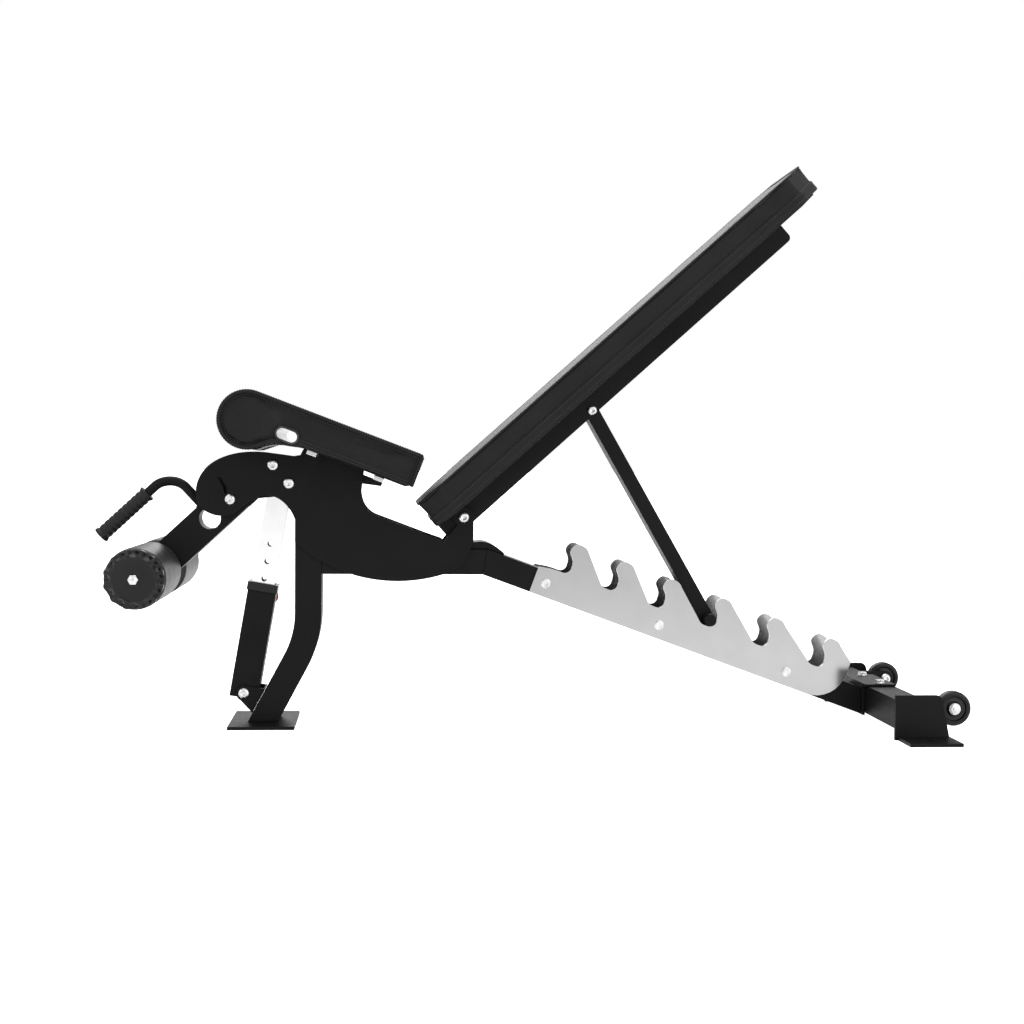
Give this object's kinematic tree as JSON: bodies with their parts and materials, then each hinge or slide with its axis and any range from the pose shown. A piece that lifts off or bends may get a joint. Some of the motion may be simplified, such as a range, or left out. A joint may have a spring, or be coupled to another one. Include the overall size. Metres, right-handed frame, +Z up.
{
  "type": "adjustable weight bench",
  "caption": "Adjustable weight bench: fixed sloping seat, reclining back on a notched ladder, leg hold-down with foam rollers, rear wheels.",
  "frame": {"origin": "centre of the front foot plate's underside, on the floor", "axes": "+X from the rollers to the wheels, +Y across the bench to the user's right, +Z up"},
  "size_m": [1.5192, 0.5766, 0.9949],
  "materials": {
    "frame_paint": "satin black powder coat",
    "ladder_steel": "satin brushed plate",
    "chrome": "bright plated tube",
    "zinc": "bright zinc bolts",
    "upholstery": "black grained vinyl",
    "board": "black painted board",
    "foam": "smooth black foam",
    "rubber": "ribbed black rubber",
    "plastic": "moulded black",
    "red_plastic": "red moulded knob"
  },
  "bodies": {
    "frame": {"side_plate_left": "frame_paint", "side_plate_right": "frame_paint", "front_leg": "frame_paint", "front_foot_plate": "frame_paint", "main_beam": "frame_paint", "spine_tube": "frame_paint", "rear_saddle": "frame_paint", "knee_strap": "frame_paint", "shoulder_bolt_front_left": "zinc", "shoulder_bolt_front_right": "zinc", "shoulder_bolt_rear_left": "zinc", "shoulder_bolt_rear_right": "zinc", "arm_pivot_bolt": "zinc", "back_pivot_bolt": "zinc", "seat_cushion": "upholstery", "seat_bar_front": "zinc", "seat_bar_rear": "zinc", "seat_cheek_left": "frame_paint", "seat_cheek_right": "frame_paint", "ladder_plate_left": "ladder_steel", "ladder_plate_right": "ladder_steel", "ladder_bolt_1": "zinc", "ladder_bolt_2": "zinc", "ladder_bolt_3": "zinc", "rear_cross_tube": "frame_paint", "rear_saddle_bolt_left": "zinc", "rear_saddle_bolt_right": "zinc", "rear_foot_left": "frame_paint", "rear_foot_right": "frame_paint", "wheel_axle_left": "zinc", "wheel_axle_right": "zinc", "post_bracket": "frame_paint", "post_pivot_bolt": "zinc"},
    "wheel_left": {"wheel_left": "plastic"},
    "wheel_right": {"wheel_right": "plastic"},
    "back": {"back_frame": "frame_paint", "back_board": "board", "back_cushion": "upholstery", "strut_bolt": "zinc"},
    "strut": {"strut": "frame_paint", "strut_pin": "frame_paint"},
    "arm": {"leg_arm": "frame_paint", "handle_tube": "frame_paint", "handle_grip": "rubber", "roller_axle": "zinc", "post_top_pin": "zinc"},
    "roller_left": {"foam_roller_left": "foam", "roller_cap_left": "plastic"},
    "roller_right": {"foam_roller_right": "foam", "roller_cap_right": "plastic"},
    "post_sleeve": {"post_sleeve": "frame_paint", "sleeve_collar": "plastic", "pop_pin_barrel": "zinc"},
    "post_tube": {"post_tube": "chrome"},
    "pop_pin": {"pop_pin": "zinc", "pop_pin_knob": "red_plastic"}
  },
  "joints": [
    {"name": "back_recline", "type": "hinge", "parent": "frame", "child": "back", "pos_m": [0.352, 0, 0.37], "axis": [0, -1, 0], "range_deg": [0, 30.5]},
    {"name": "strut_swing", "type": "hinge", "parent": "back", "child": "strut", "pos_m": [0.58052, 0, 0.5623], "axis": [0, -1, 0], "range_deg": [-23, 0.5]},
    {"name": "arm_tilt", "type": "hinge", "parent": "frame", "child": "arm", "pos_m": [-0.058, 0, 0.399], "axis": [0, 1, 0], "range_deg": [0, 45]},
    {"name": "post_swing", "type": "hinge", "parent": "frame", "child": "post_sleeve", "pos_m": [-0.034, 0, 0.056], "axis": [0, 1, 0], "range_deg": [-0.5, 2]},
    {"name": "post_slide", "type": "slide", "parent": "post_sleeve", "child": "post_tube", "axis": [0.1659, 0, 0.9861], "range_m": [-0.072, 0.001]},
    {"name": "pop_pin_pull", "type": "slide", "parent": "post_sleeve", "child": "pop_pin", "axis": [0, 1, 0], "range_m": [0, 0.008], "stiffness_N_per_m": 800, "springref_m": -0.004},
    {"name": "roller_left_spin", "type": "hinge", "parent": "arm", "child": "roller_left", "pos_m": [-0.1933, 0, 0.27283], "axis": [0, 1, 0], "continuous": true},
    {"name": "roller_right_spin", "type": "hinge", "parent": "arm", "child": "roller_right", "pos_m": [-0.1933, 0, 0.27283], "axis": [0, 1, 0], "continuous": true},
    {"name": "wheel_left_spin", "type": "hinge", "parent": "frame", "child": "wheel_left", "pos_m": [1.191, -0.195, 0.051], "axis": [0, 1, 0], "continuous": true},
    {"name": "wheel_right_spin", "type": "hinge", "parent": "frame", "child": "wheel_right", "pos_m": [1.191, 0.195, 0.051], "axis": [0, 1, 0], "continuous": true}
  ],
  "couplings": [
    {"joint": "strut_swing", "follows": "back_recline", "ratio": -0.73},
    {"joint": "post_swing", "follows": "arm_tilt", "ratio": 0.017},
    {"joint": "post_slide", "follows": "arm_tilt", "m_per_rad": -0.084798}
  ]
}
